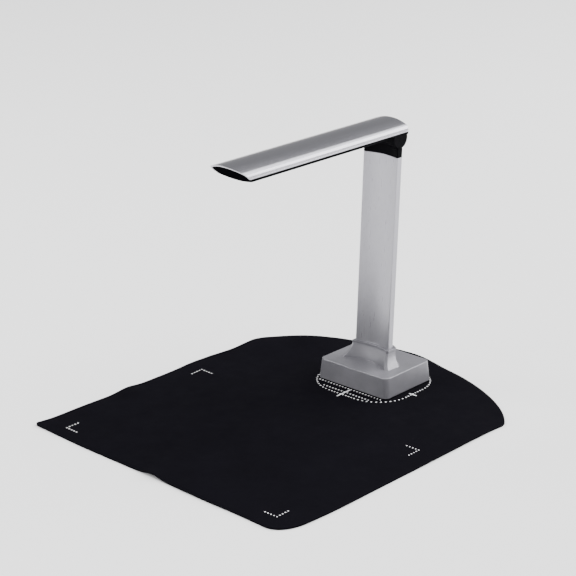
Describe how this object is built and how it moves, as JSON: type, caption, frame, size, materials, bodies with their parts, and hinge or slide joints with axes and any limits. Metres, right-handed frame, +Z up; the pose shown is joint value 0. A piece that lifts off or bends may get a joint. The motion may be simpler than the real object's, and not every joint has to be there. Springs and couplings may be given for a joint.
{
  "type": "book scanner",
  "caption": "Folding desktop book scanner: a slim silver camera and lamp arm on a leaning column and weighted base, standing on a black document mat.",
  "frame": {"origin": "on the table under the mat, at the middle of the whole part's bounding box: halfway across the mat and halfway between its front edge and the top of its rear arc", "axes": "+X to the user's right, +Y away from the user (the arm points along -Y), +Z up"},
  "size_m": [0.354, 0.404, 0.2903],
  "materials": {
    "mat_sheet": "matte",
    "base_plastic": "satin",
    "silver_aluminium": "satin anodised",
    "black_plastic": "fine texture",
    "gloss_black": "polished",
    "weight_iron": "as cast",
    "foot_rubber": "matte",
    "screw_steel": "zinc plated",
    "plated_steel": "nickel plated",
    "bush_brass": "turned",
    "washer_plastic": "smooth",
    "circuit_board": "solder mask",
    "lamp_board": "white solder mask",
    "connector_plastic": "moulded",
    "chip_black": "moulded",
    "cable_jacket": "smooth",
    "ribbon_film": "film",
    "window_glass": "polished",
    "lens_glass": "coated",
    "sensor_face": "polished",
    "lamp_yellow": "phosphor",
    "diffuser_white": "frosted"
  },
  "bodies": {
    "mat": {"mat": "mat_sheet"},
    "stand": {"base_shell": "base_plastic", "base_weight": "weight_iron", "bottom_cover": "black_plastic", "rubber_feet": "foot_rubber", "weight_screws": "screw_steel", "cover_screws": "screw_steel", "column_screws": "screw_steel", "usb_board": "circuit_board", "usb_socket": "plated_steel", "base_cable_connector": "connector_plastic", "usb_board_screws": "screw_steel", "column_extrusion": "silver_aluminium", "hinge_fork": "black_plastic", "fork_screws": "screw_steel", "column_cable": "cable_jacket"},
    "arm": {"hinge_shaft": "plated_steel", "hinge_bush": "bush_brass", "friction_washers": "washer_plastic", "spring_washers": "plated_steel", "hinge_nut": "plated_steel", "hinge_caps": "black_plastic", "arm_shell": "silver_aluminium", "tip_cap": "gloss_black", "rear_cap": "black_plastic", "arm_tray": "black_plastic", "arm_screws": "screw_steel", "camera_bezel": "gloss_black", "camera_window": "window_glass", "lens_barrel": "black_plastic", "lens_elements": "lens_glass", "lens_holder": "black_plastic", "image_sensor": "sensor_face", "camera_board": "circuit_board", "camera_board_screws": "screw_steel", "led_board": "lamp_board", "leds": "lamp_yellow", "light_diffuser": "diffuser_white", "led_board_screws": "screw_steel", "main_board": "circuit_board", "board_components": "chip_black", "main_board_screws": "screw_steel", "button_switch": "chip_black", "arm_cable": "cable_jacket", "cable_connectors": "connector_plastic", "camera_ribbon": "ribbon_film", "led_cable": "cable_jacket"},
    "light_button": {"light_button": "gloss_black"}
  },
  "joints": [
    {"name": "stand_lift_off", "type": "slide", "parent": "mat", "child": "stand", "axis": [0, 0, 1], "range_m": [0, 0.1]},
    {"name": "arm_fold", "type": "hinge", "parent": "stand", "child": "arm", "pos_m": [0, 0.1356, 0.2733], "axis": [1, 0, 0], "range_deg": [0, 84]},
    {"name": "light_button_press", "type": "slide", "parent": "arm", "child": "light_button", "axis": [0, 0, 1], "range_m": [0, 0.0005], "stiffness_N_per_m": 2000}
  ]
}
